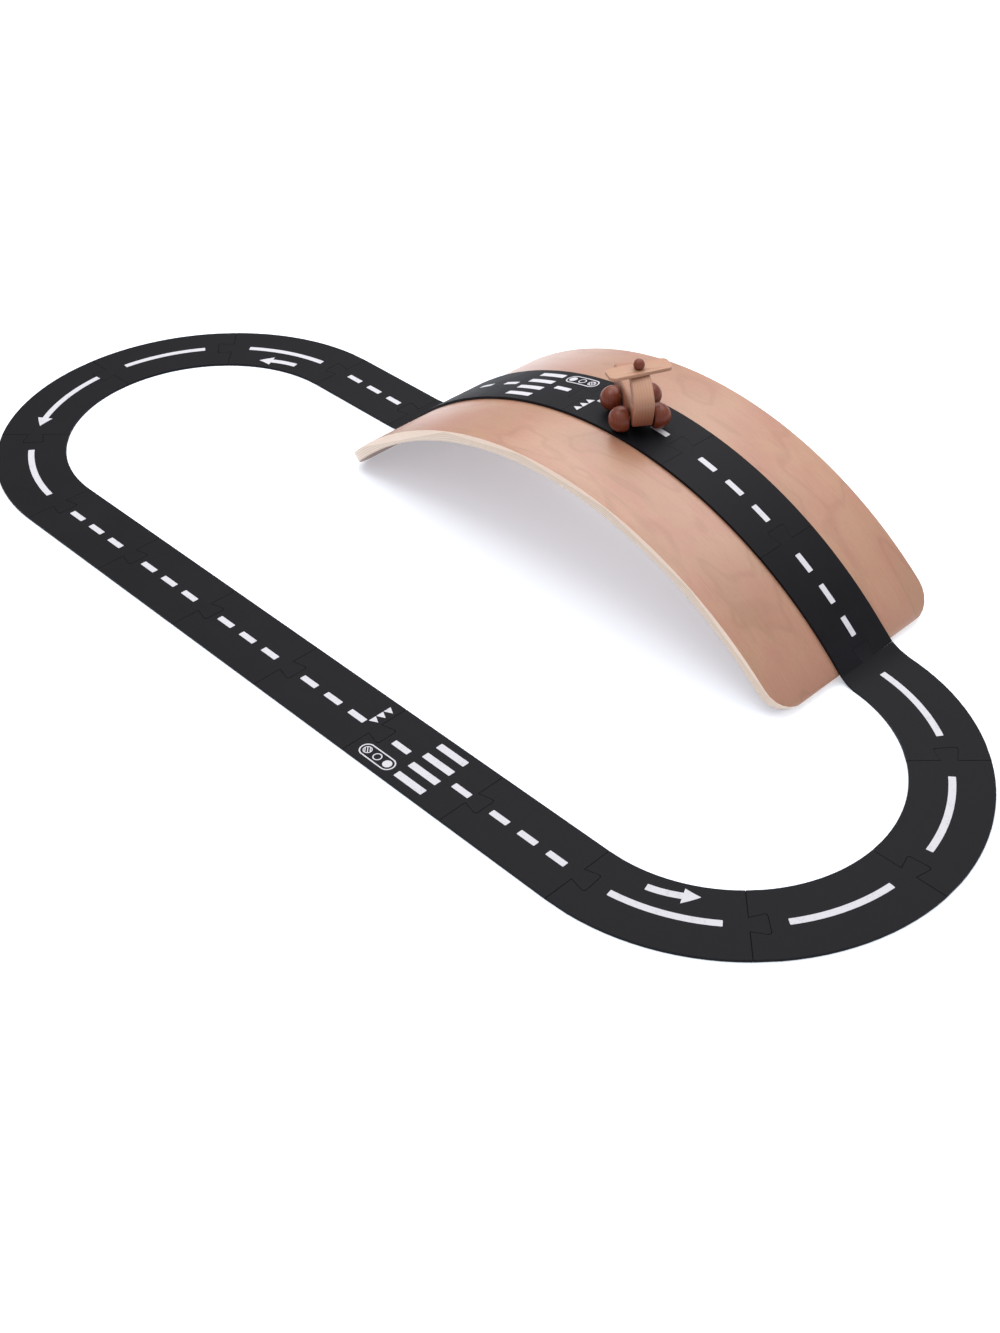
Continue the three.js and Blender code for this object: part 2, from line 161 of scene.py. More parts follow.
@dataclass(frozen=True)
class MouldedRubber:
    """Charcoal rubber pressed in a sand-blasted mould: matt, barely mottled, with a fine grit."""

    deep: str = "#0E0E12"
    worn: str = "#141419"
    roughness: Pair = (0.46, 0.64)
    gloss: float = 0.12
    mottle_mm: float = 85.0
    mottle_span: Pair = (0.35, 0.68)
    grit_mm: float = 1.6
    grit_height_mm: float = 0.12
    grit_strength: float = 0.35
    dust_span: Pair = (0.5, 0.85)
    dust_share: float = 0.5

    @functools.cache
    def material(self) -> bpy.types.Material:
        """Make the rubber once: a soft mottle in colour and roughness, and grit in bump."""
        material, add = fresh_material("moulded_rubber")
        place = add("TexCoord").outputs["Object"]
        # Grit is drawn coarser than the mould's own, so that it shows in a close view
        mottle, grit = (
            add("TexNoise", {"Vector": place, "Scale": scale, "Detail": detail, "Roughness": fine})
            for scale, detail, fine in (
                (1 / (self.mottle_mm * MM), 5.0, 0.6),
                (1 / (self.grit_mm * MM), 3.0, 0.7),
            )
        )
        blotch, dust = (
            add("MapRange", {"Value": noise, "From Min": low, "From Max": high, "To Max": most})
            for noise, (low, high), most in (
                (mottle, self.mottle_span, 1.0),
                (grit, self.dust_span, self.dust_share),
            )
        )
        share = add("Math", {0: blotch, 1: dust}, operation="ADD", use_clamp=True)
        colour = add(
            "Mix", {0: share, 6: linear(self.deep), 7: linear(self.worn)}, data_type="RGBA"
        )
        smoothest, roughest = self.roughness
        rough = add("MapRange", {"Value": mottle, "To Min": smoothest, "To Max": roughest})
        high = self.grit_height_mm * MM
        bump = add("Bump", {"Height": grit, "Strength": self.grit_strength, "Distance": high})
        surface = {
            "Base Color": colour.outputs[2],
            "Roughness": rough,
            "Specular IOR Level": self.gloss,
            "Normal": bump,
        }
        add("OutputMaterial", {"Surface": add("BsdfPrincipled", surface)})
        return material


@dataclass(frozen=True)
class RoadInk:
    """White screen ink on rubber: flat, a little uneven where the grit shows through."""

    white: str = "#CDCBD2"
    thin: Tint = Tint("#B7B5BD", 0.28, 0.48)
    roughness: float = 0.6
    gloss: float = 0.3
    patch_mm: float = 9.0
    grit_mm: float = 1.6

    @functools.cache
    def material(self) -> bpy.types.Material:
        """Make the ink once: patches of thinner ink with specks of grit."""
        material, add = fresh_material("screen_printed_ink")
        place = add("TexCoord").outputs["Object"]
        patch, grit = (
            add("TexNoise", {"Vector": place, "Scale": 1 / (size * MM), "Detail": detail})
            for size, detail in ((self.patch_mm, 4.0), (self.grit_mm, 2.0))
        )
        worn = add("Math", {0: patch, 1: grit}, operation="MULTIPLY")
        colour, _ = self.thin.over(add, linear(self.white), worn)
        surface = {
            "Base Color": colour,
            "Roughness": self.roughness,
            "Specular IOR Level": self.gloss,
        }
        add("OutputMaterial", {"Surface": add("BsdfPrincipled", surface)})
        return material


@dataclass(frozen=True)
class BentPlywood:
    """Rotary-cut beech veneer, satin lacquered: flame figure on the faces, striped cream edge."""

    light: str = "#B0846A"
    mid: Tint = Tint("#A2775D", 0.35, 0.65, 0.9)
    blush: Tint = Tint("#AA7461", 0.42, 0.66, 0.7)
    flame: Tint = Tint("#82563F", 0.7, 1.0, 0.19)
    streak: Tint = Tint("#82563F", 0.5, 0.75, 0.24)
    pore: Tint = Tint("#754E3A", 0.56, 0.78, 0.32)
    # Painted shade laid on the hollow underside of the sheet
    underside_painted_shade: str = "#8A6553"
    # Painted highlight along the rounded upper corner of the sawn edge
    arris_painted_highlight: str = "#E6CDBA"
    ply_light: str = "#DCC7B3"
    ply_dark: Tint = Tint("#C8B09B", 0.6 * MM, 0.9 * MM)
    roughness: Pair = (0.42, 0.72)
    gloss: float = 0.5
    lacquer: float = 0.55
    lacquer_roughness: float = 0.36
    flame_mm: Triple = (200.0, 85.0, 1000.0)
    blotch_mm: Triple = (75.0, 45.0, 1000.0)
    streak_mm: Triple = (60.0, 1.6, 1000.0)
    pore_mm: Triple = (7.0, 0.9, 1000.0)
    pore_depth_mm: float = 0.1
    pore_strength: float = 0.2
    waviness: float = 0.3
    figure_lines: float = 36.0
    ply_mm: float = 1.5
    skin_mm: float = 0.25
    arris_highlight_mm: float = 1.3
    thickness_mm: float = 15.0

    ATTRIBUTE = "sheet"

    def _face(self, add: Adder, sheet: Socket, depth: Socket) -> tuple[Socket, Socket]:
        """Colour of the veneer faces, plain, with painted shade on the hollow side.

        Args:
            add: adds a node to the material's tree.
            sheet: place on the unrolled sheet.
            depth: height above the sheet's hollow face.

        Returns:
            The colour's output and the pores' mask.
        """
        growth, blotch, streak, pores = (
            add(
                "TexNoise",
                {
                    "Vector": add("Mapping", {"Vector": sheet, "Scale": per_metre(*size)}),
                    "Scale": 1.0,
                    "Detail": detail,
                    "Distortion": self.waviness,
                },
            )
            for size, detail in (
                (self.flame_mm, 2.0),
                (self.blotch_mm, 3.0),
                (self.streak_mm, 3.0),
                (self.pore_mm, 2.0),
            )
        )
        # Growth rings, cut at a slant by the peeling knife: faint lines round the noise's hills
        rings = add("Math", {0: growth, 1: self.figure_lines}, operation="MULTIPLY")
        wave = add("Math", {0: rings}, operation="SINE")
        colour, _ = self.mid.over(add, linear(self.light), growth)
        colour, _ = self.blush.over(add, colour, blotch)
        colour, _ = self.flame.over(add, colour, wave)
        colour, _ = self.streak.over(add, colour, streak)
        colour, pitted = self.pore.over(add, colour, pores)
        # Painted shade: the hollow underside, below the face veneer's skin, is laid darker
        under = add("Math", {0: depth, 1: self.skin_mm * MM}, operation="LESS_THAN")
        shaded = add("Mix", {0: under, 6: colour, 7: linear(self.underside_painted_shade)}, data_type="RGBA")
        return shaded.outputs[2], pitted

    def _edge(self, add: Adder, depth: Socket) -> tuple[Socket, Socket]:
        """Stripes of the sawn edge with a painted highlight along its upper corner, and where that
        edge shows.

        Args:
            add: adds a node to the material's tree.
            depth: height above the sheet's hollow face.

        Returns:
            The stripes' colour and the edge's mask.
        """
        ply = add("Math", {0: depth, 1: self.ply_mm * MM}, operation="PINGPONG")
        stripes, _ = self.ply_dark.over(add, linear(self.ply_light), ply)
        # Painted highlight: a bright band along the rounded upper corner of the edge, where the
        # arris catches the light
        arris_highlight_mask, above, below = (
            add("Math", {0: depth, 1: height * MM}, operation=test)
            for height, test in (
                (self.thickness_mm - self.arris_highlight_mm, "GREATER_THAN"),
                (self.skin_mm, "GREATER_THAN"),
                (self.thickness_mm - self.skin_mm, "LESS_THAN"),
            )
        )
        highlighted_stripes = add("Mix", {0: arris_highlight_mask, 6: stripes, 7: linear(self.arris_painted_highlight)}, data_type="RGBA")
        shows = add("Math", {0: above, 1: below}, operation="MULTIPLY")
        return highlighted_stripes.outputs[2], shows.outputs[0]

    @functools.cache
    def material(self) -> bpy.types.Material:
        """Make the plywood once, on the unrolled sheet, so that the grain follows the bend."""
        material, add = fresh_material("bent_beech_plywood")
        sheet = add("Attribute", attribute_name=self.ATTRIBUTE).outputs["Vector"]
        depth = add("SeparateXYZ", {0: sheet}).outputs["Z"]
        face, pores = self._face(add, sheet, depth)
        stripes, edge = self._edge(add, depth)
        colour = add("Mix", {0: edge, 6: face, 7: stripes}, data_type="RGBA")
        smoothest, roughest = self.roughness
        rough = add("MapRange", {"Value": pores, "To Min": smoothest, "To Max": roughest})
        pits = {"Strength": self.pore_strength, "Distance": self.pore_depth_mm * MM}
        surface = {
            "Base Color": colour.outputs[2],
            "Roughness": rough,
            "Specular IOR Level": self.gloss,
            "Coat Weight": self.lacquer,
            "Coat Roughness": self.lacquer_roughness,
            "Normal": add("Bump", {"Height": pores, **pits}, invert=True),
        }
        add("OutputMaterial", {"Surface": add("BsdfPrincipled", surface)})
        return material


@dataclass(frozen=True)
class OiledBeech:
    """Solid beech, sanded and dressed: straight rings with short dark flecks along the grain."""

    name: str = "oiled_beech"
    light: str = "#B0846A"
    ring: Tint = Tint("#966B54", -0.8, 1.0, 0.3)
    fleck: Tint = Tint("#704633", 0.58, 0.78, 0.32)
    # Painted shade, darker and redder towards the bottom of the block
    painted_low_shade: Tint = Tint("#7C2B12", 56 * MM, 8 * MM, 0.0)
    roughness: float = 0.45
    gloss: float = 0.5
    coat: float = 0.03
    coat_roughness: float = 0.25
    ring_mm: float = 3.6
    sway_mm: Triple = (90.0, 14.0, 60.0)
    sway_turns: float = 4.0
    fleck_mm: Triple = (9.0, 0.8, 0.8)
    fleck_depth_mm: float = 0.1
    fleck_strength: float = 0.12

    ATTRIBUTE = "block"

    @functools.cache
    def material(self) -> bpy.types.Material:
        """Make the wood once, in the block's own directions: X along the grain, rings across Y."""
        material, add = fresh_material(self.name)
        block = add("Attribute", attribute_name=self.ATTRIBUTE).outputs["Vector"]
        across = add("SeparateXYZ", {0: block}).outputs["Y"]
        height = add("SeparateXYZ", {0: block}).outputs["Z"]
        sway, flecks = (
            add(
                "TexNoise",
                {
                    "Vector": add("Mapping", {"Vector": block, "Scale": per_metre(*size)}),
                    "Scale": 1.0,
                    "Detail": 2.0,
                },
            )
            for size in (self.sway_mm, self.fleck_mm)
        )
        per_ring = 2 * math.pi / (self.ring_mm * MM)
        turns = add("Math", {0: across, 1: per_ring}, operation="MULTIPLY")
        swing = self.sway_turns * math.pi
        bent = add("Math", {0: sway, 1: swing, 2: turns}, operation="MULTIPLY_ADD")
        wave = add("Math", {0: bent}, operation="SINE")
        colour, _ = self.ring.over(add, linear(self.light), wave)
        colour, _ = self.fleck.over(add, colour, flecks)
        # Painted shade: the block turns darker and redder towards its bottom
        colour, _ = self.painted_low_shade.over(add, colour, height)
        ridges = {"Strength": self.fleck_strength, "Distance": self.fleck_depth_mm * MM}
        surface = {
            "Base Color": colour,
            "Roughness": self.roughness,
            "Specular IOR Level": self.gloss,
            "Coat Weight": self.coat,
            "Coat Roughness": self.coat_roughness,
            "Normal": add("Bump", {"Height": flecks, **ridges}),
        }
        add("OutputMaterial", {"Surface": add("BsdfPrincipled", surface)})
        return material


@dataclass(frozen=True)
class StudioTable:
    """Seamless white table under the set, matt and lit from below so that shadows stay pale."""

    white: str = "#EDF2FA"
    cloud: str = "#EBF0F9"
    cloud_mm: float = 900.0
    roughness: float = 0.95
    glow: float = 0.36

    @functools.cache
    def material(self) -> bpy.types.Material:
        """Make the table once, with a hardly visible unevenness."""
        material, add = fresh_material("studio_table")
        place = add("TexCoord").outputs["Object"]
        cloud = add("TexNoise", {"Vector": place, "Scale": 1 / (self.cloud_mm * MM)})
        colour = add(
            "Mix", {0: cloud, 6: linear(self.white), 7: linear(self.cloud)}, data_type="RGBA"
        )
        surface = {
            "Base Color": colour.outputs[2],
            "Roughness": self.roughness,
            "Specular IOR Level": 0.0,
            "Emission Color": linear(self.white),
            "Emission Strength": self.glow,
        }
        add("OutputMaterial", {"Surface": add("BsdfPrincipled", surface)})
        return material


def select_only(*pieces: Piece) -> None:
    """Leave just these objects selected, the first of them active.

    Args:
        *pieces: the objects.
    """
    bpy.ops.object.select_all(action="DESELECT")
    for piece in pieces:
        piece.select_set(True)
    bpy.context.view_layer.objects.active = pieces[0]


@contextlib.contextmanager
def editing(piece: Piece) -> Iterator[None]:
    """Hold a piece in edit mode, at first with all of its mesh selected.

    Args:
        piece: mesh object.

    Yields:
        Nothing; the mesh's operators act on the piece meanwhile.
    """
    select_only(piece)
    bpy.ops.object.mode_set(mode="EDIT")
    bpy.ops.mesh.select_all(action="SELECT")
    yield
    bpy.ops.object.mode_set(mode="OBJECT")


def start_piece(name: str, primitive: Callable[..., object], **settings: object) -> Piece:
    """Start a piece from a primitive, with nothing else selected.

    Args:
        name: the piece's name.
        primitive: Blender's operator that adds the primitive.
        **settings: the operator's own settings.

    Returns:
        The new mesh object.
    """
    bpy.ops.object.select_all(action="DESELECT")
    primitive(**settings)
    piece = bpy.context.object
    piece.name = name
    piece.data.name = name
    return piece


def settle() -> None:
    """Put the selected object's place, turn and scale into its mesh."""
    bpy.ops.object.transform_apply(location=True, rotation=True, scale=True)


def apply_modifier(piece: Piece, kind: str, **settings: object) -> None:
    """Add one modifier to a piece and apply it.

    Args:
        piece: mesh object.
        kind: Blender's name for the modifier.
        **settings: its properties.
    """
    modifier = piece.modifiers.new(kind.lower(), kind)
    for key, value in settings.items():
        setattr(modifier, key, value)
    select_only(piece)
    bpy.ops.object.modifier_apply(modifier=modifier.name)


def ease(piece: Piece, width: float, segments: int, degrees: float) -> None:
    """Round a piece's edges to this width where its faces meet at more than this angle."""
    bends = {"limit_method": "ANGLE", "angle_limit": math.radians(degrees)}
    apply_modifier(piece, "BEVEL", width=width, segments=segments, **bends)


def smooth(piece: Piece, degrees: float) -> None:
    """Shade a piece smooth where its faces meet at less than this angle."""
    select_only(piece)
    bpy.ops.object.shade_smooth_by_angle(angle=math.radians(degrees))


def copy_of(node: str, name: str) -> Piece:
    """Copy a CAD node as a welded mesh with its flat faces whole.

    Args:
        node: the CAD node.
        name: the copy's name.

    Returns:
        The copy, at the origin.
    """
    piece = bpy.data.objects.new(name, frame["nodes"][node].data.copy())
    piece.data.name = name
    bpy.context.scene.collection.objects.link(piece)
    with editing(piece):
        bpy.ops.mesh.remove_doubles(threshold=WELD)
        bpy.ops.mesh.dissolve_limited(angle_limit=math.radians(FLAT_DEGREES))
    return piece


def dress(piece: Piece, material: bpy.types.Material, node: str, slot: str | None = None) -> None:
    """Give a piece its finish and the body it moves with.

    Args:
        piece: finished mesh object.
        material: its finish.
        node: CAD node that it stands for, or lies on where it has no slot.
        slot: the record's material slot of a piece that stands for its node.
    """
    piece.data.materials.clear()
    piece.data.materials.append(material)
    body = BODIES[node]
    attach(piece, body)
    if slot:
        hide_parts(node)
    log.info("%s: %d faces on %s", piece.name, len(piece.data.polygons), body)


def store_places(piece: Piece, attribute: str, local: Callable[[Vector], Vector]) -> None:
    """Store each corner's place in a material's own directions.

    Args:
        piece: mesh object.
        attribute: name that the material reads.
        local: turns a place in the frame into the material's own.
    """
    layer = piece.data.attributes.new(attribute, "FLOAT_VECTOR", "POINT")
    places = [share for corner in piece.data.vertices for share in local(corner.co)]
    layer.data.foreach_set("vector", places)


@dataclass
class RoadPath:
    """Course of the road: two straights and two half turns, with one straight over the board."""

    straight: float = 164 * MM
    front_pieces: int = 6
    curve_radius: float = 246.5 * MM
    width: float = 96 * MM
    thickness: float = 3.5 * MM
    foot_bend: float = 50 * MM
    board_radius: float = 538 * MM
    board_half_angle: float = math.radians(46.7)
    board_thickness: float = 15 * MM
    board_width: float = 300 * MM
    board_before_curve: float = 1.5 * MM
    road_behind_board_middle: float = 7 * MM
    rest_gap: float = 0.3 * MM

    def __post_init__(self) -> None:
        """Work out the places that follow from the sizes."""
        self.run = self.front_pieces * self.straight
        self.half_turn = math.pi * self.curve_radius
        board_from_front = 2 * self.curve_radius - self.road_behind_board_middle
        depth = self.width / 2 + board_from_front + self.board_width / 2
        self.front_y = self.width / 2 - depth / 2
        self.back_y = self.front_y + 2 * self.curve_radius
        self.board_y = self.front_y + board_from_front
        reach = self.board_radius * math.sin(self.board_half_angle)
        self.bridge_x = self.run / 2 - self.board_before_curve - reach
        inner = self.board_radius - self.board_thickness
        self.bridge_z = -inner * math.cos(self.board_half_angle)
        self.radius = self.board_radius + self.rest_gap
        middle = self.foot_bend - self.bridge_z
        angle = math.acos(middle / (self.radius + self.foot_bend))
        self.climb_reach = (self.radius + self.foot_bend) * math.sin(angle)
        back_middle = self.run + self.half_turn + self.run / 2
        self.climb_start = back_middle - self.bridge_x - self.climb_reach
        self.foot = self.foot_bend * angle
        self.over = 2 * self.foot + 2 * self.radius * angle
        self.loop = 2 * self.run + 2 * self.half_turn + self.over - 2 * self.climb_reach

    def plan(self, u: float) -> Triple:
        """Place and heading in plan.

        Args:
            u: distance along the plan's centre line.

        Returns:
            X, Y and heading in radians.
        """
        right, radius = self.run / 2, self.curve_radius
        if u < self.run:
            return u - right, self.front_y, 0.0
        if u < self.run + self.half_turn:
            turn = (u - self.run) / radius
            y = self.front_y + radius * (1 - math.cos(turn))
            return right + radius * math.sin(turn), y, turn
        if u < 2 * self.run + self.half_turn:
            return right - (u - self.run - self.half_turn), self.back_y, math.pi
        turn = (u - 2 * self.run - self.half_turn) / radius
        y = self.back_y - radius * (1 - math.cos(turn))
        return -right - radius * math.sin(turn), y, math.pi + turn

    def profile(self, s: float) -> Triple:
        """Rise of the road's underside.

        Args:
            s: distance along the road.

        Returns:
            Distance in plan, height and climb angle.
        """
        d = s - self.climb_start
        if d <= 0:
            return s, 0.0, 0.0
        if d >= self.over:
            return s - self.over + 2 * self.climb_reach, 0.0, 0.0
        crest = self.climb_start + self.climb_reach
        if d < self.foot or d > self.over - self.foot:
            side = -1 if d < self.foot else 1
            bend = (d if side < 0 else self.over - d) / self.foot_bend
            out = self.climb_reach - self.foot_bend * math.sin(bend)
            return crest + side * out, self.foot_bend * (1 - math.cos(bend)), -side * bend
        around = (d - self.over / 2) / self.radius
        height = self.bridge_z + self.radius * math.cos(around)
        return crest + self.radius * math.sin(around), height, -around

    def point(self, s: float, t: float, h: float) -> Vector:
        """Point of the road in the frame.

        Args:
            s: distance along it.
            t: distance to the left of its middle.
            h: height above its underside.

        Returns:
            The point.
        """
        u, z, climb = self.profile(s % self.loop)
        x, y, heading = self.plan(u)
        ahead = Vector((math.cos(heading), math.sin(heading), 0.0))
        left = Vector((-ahead.y, ahead.x, 0.0))
        up = Vector((0.0, 0.0, math.cos(climb))) - ahead * math.sin(climb)
        return Vector((x, y, z)) + left * t + up * h


class Marking(Enum):
    """What is printed on a road piece."""

    PLAIN = "three dashes"
    YIELD = "three dashes and a row of teeth"
    CROSSING = "zebra crossing and traffic light"
    SHORT = "one dash"
    CURVE = "one long line"
    CURVE_ARROW = "one long line and a lane arrow"
    CURVE_POINTED = "one long line that ends in an arrowhead"


@dataclass
class Stencil:
    """Flat cut-outs of the printed marks, modelled once round the origin, +X along the road."""

    dash: Pair = (26.5 * MM, 8.2 * MM)
    bar: Pair = (45.4 * MM, 9.6 * MM)
    line: Pair = (125 * MM, 8.6 * MM)
    pointed_line: Pair = (128 * MM, 8.6 * MM)
    arrow_shaft: Pair = (45 * MM, 9 * MM)
    arrow_head: Pair = (22 * MM, 22 * MM)
    arrow_rise: float = 5 * MM
    tooth: Pair = (10.6 * MM, 10.8 * MM)
    tooth_cuts: int = 2
    lamp_radius: float = 5.8 * MM
    lamp_pitch: float = 17 * MM
    empty_stroke: float = 1.4 * MM
    hatch_stroke: float = 1.2 * MM
    hatch_pitch: float = 3 * MM
    hatch_slant: float = math.radians(-45)
    signal_radius: float = 10.2 * MM
    signal_stroke: float = 1.7 * MM
    signal_cuts: int = 2
    disc_sides: int = 32
    step: float = 6 * MM
    corner: float = 0.8 * MM
    corner_rounds: int = 2
    corner_share: float = 0.49
    parts: dict[str, Piece] = field(default_factory=dict)

    def build(self) -> None:
        """Model every cut-out."""
        self.parts = {
            "dash": self._strip("dash", self.dash),
            "bar": self._strip("bar", self.bar),
            "line": self._strip("line", self.line),
            "pointed": self._arrow("pointed", self.pointed_line, 0.0),
            "arrow": self._arrow("arrow", self.arrow_shaft, self.arrow_rise),
            "tooth": self._wedge("tooth", self.tooth),
            "signal": self._signal("signal"),
        }

    def clear(self) -> None:
        """Remove the cut-outs after their copies are made."""
        for part in self.parts.values():
            bpy.data.objects.remove(part)

    def _strip(self, name: str, size: Pair) -> Piece:
        """A bar cut into short lengths, with its corners eased.

        Args:
            name: name of the cut-out.
            size: length and width.

        Returns:
            The flat mesh object.
        """
        length, width = size
        strip = start_piece(
            name,
            bpy.ops.mesh.primitive_grid_add,
            x_subdivisions=max(2, round(length / self.step)),
            y_subdivisions=2,
            size=1.0,
        )
        strip.scale = (length, width, 1.0)
        settle()
        with editing(strip):
            bpy.ops.mesh.select_all(action="DESELECT")
        for vertex in strip.data.vertices:
            at_end = abs(vertex.co.x) > length * self.corner_share
            vertex.select = at_end and abs(vertex.co.y) > width * self.corner_share
        bpy.ops.object.mode_set(mode="EDIT")
        bpy.ops.mesh.select_mode(type="VERT")
        bpy.ops.mesh.bevel(affect="VERTICES", offset=self.corner, segments=self.corner_rounds)
        bpy.ops.object.mode_set(mode="OBJECT")
        return strip

    def _wedge(self, name: str, size: Pair) -> Piece:
        """A triangle that points along +X from a base across the origin.

        Args:
            name: name of the cut-out.
            size: length and base.

        Returns:
            The flat mesh object.
        """
        length, base = size
        wedge = start_piece(
            name, bpy.ops.mesh.primitive_circle_add, vertices=3, radius=1.0, fill_type="NGON"
        )
        spots = sorted(wedge.data.vertices, key=lambda vertex: vertex.co.y)
        corners = ((0.0, -base / 2, 0.0), (0.0, base / 2, 0.0), (length, 0.0, 0.0))
        for vertex, corner in zip(spots, corners, strict=True):
            vertex.co = corner
        with editing(wedge):
            bpy.ops.mesh.subdivide(number_cuts=self.tooth_cuts)
            bpy.ops.mesh.normals_make_consistent(inside=False)
        if wedge.data.polygons[0].normal.z < 0:
            wedge.data.flip_normals()
        return wedge

    def _arrow(self, name: str, shaft: Pair, rise: float) -> Piece:
        """A bar with an arrowhead, which may swing to the left towards its tip.

        Args:
            name: name of the cut-out.
            shaft: length and width of the bar.
            rise: how far the tip swings to the left.

        Returns:
            The flat mesh object, its middle at the origin.
        """
        total = shaft[0] + self.arrow_head[0]
        bar = self._strip(name, shaft)
        bar.data.transform(Matrix.Translation((shaft[0] / 2 - total / 2, 0.0, 0.0)))
        head = self._wedge(f"{name}_head", self.arrow_head)
        head.data.transform(Matrix.Translation((shaft[0] - total / 2, 0.0, 0.0)))
        select_only(bar, head)
        bpy.ops.object.join()
        for vertex in bar.data.vertices:
            share = vertex.co.x / total + 0.5
            vertex.co.y += rise * share**2
        return bar

    def _disc(self, name: str, radius: float, x: float) -> Piece:
        """A round disc of one face.

        Args:
            name: name of the cut-out.
            radius: its radius.
            x: its middle along the road.

        Returns:
            The flat mesh object.
        """
        disc = start_piece(
            name,
            bpy.ops.mesh.primitive_circle_add,
            vertices=self.disc_sides,
            radius=radius,
            fill_type="NGON",
            location=(x, 0.0, 0.0),
        )
        settle()
        return disc

    def _hollow(self, disc: Piece, stroke: float) -> Piece:
        """Inset a disc and take its middle out, which leaves a ring.

        Args:
            disc: flat mesh object of one face.
            stroke: width of the ring.

        Returns:
            The same object.
        """
        with editing(disc):
            bpy.ops.mesh.select_mode(type="FACE")
            bpy.ops.mesh.inset(thickness=stroke)
            bpy.ops.mesh.delete(type="FACE")
        return disc

    def _signal(self, name: str) -> Piece:
        """A traffic light: a rounded frame with a hatched, an empty and a full lamp.

        Args:
            name: name of the cut-out.

        Returns:
            The flat mesh object.
        """
        housing = self._disc(name, self.signal_radius, 0.0)
        for vertex in housing.data.vertices:
            vertex.co.x += math.copysign(self.lamp_pitch, vertex.co.x)
        self._hollow(housing, self.signal_stroke)
        with editing(housing):
            for cut in range(-self.signal_cuts, self.signal_cuts + 1):
                bpy.ops.mesh.select_all(action="SELECT")
                bpy.ops.mesh.bisect(plane_co=(cut * self.step, 0.0, 0.0), plane_no=(1.0, 0.0, 0.0))
        hatched = self._disc("hatched_lamp", self.lamp_radius, -self.lamp_pitch)
        empty = self._disc("empty_lamp", self.lamp_radius, 0.0)
        lamps = [
            self._hollow(hatched, self.hatch_stroke),
            self._hollow(empty, self.empty_stroke),
            self._disc("full_lamp", self.lamp_radius, self.lamp_pitch),
        ]
        slant = Matrix.Rotation(self.hatch_slant, 4, "Z")
        centre = Matrix.Translation((-self.lamp_pitch, 0.0, 0.0))
        for across in (-self.hatch_pitch, 0.0, self.hatch_pitch):
            reach = 2 * math.sqrt((self.lamp_radius - self.hatch_stroke) ** 2 - across**2)
            stripe = self._strip("hatch", (reach, self.hatch_stroke))
            stripe.data.transform(centre @ slant @ Matrix.Translation((0.0, across, 0.0)))
            lamps.append(stripe)
        select_only(housing, *lamps)
        bpy.ops.object.join()
        return housing


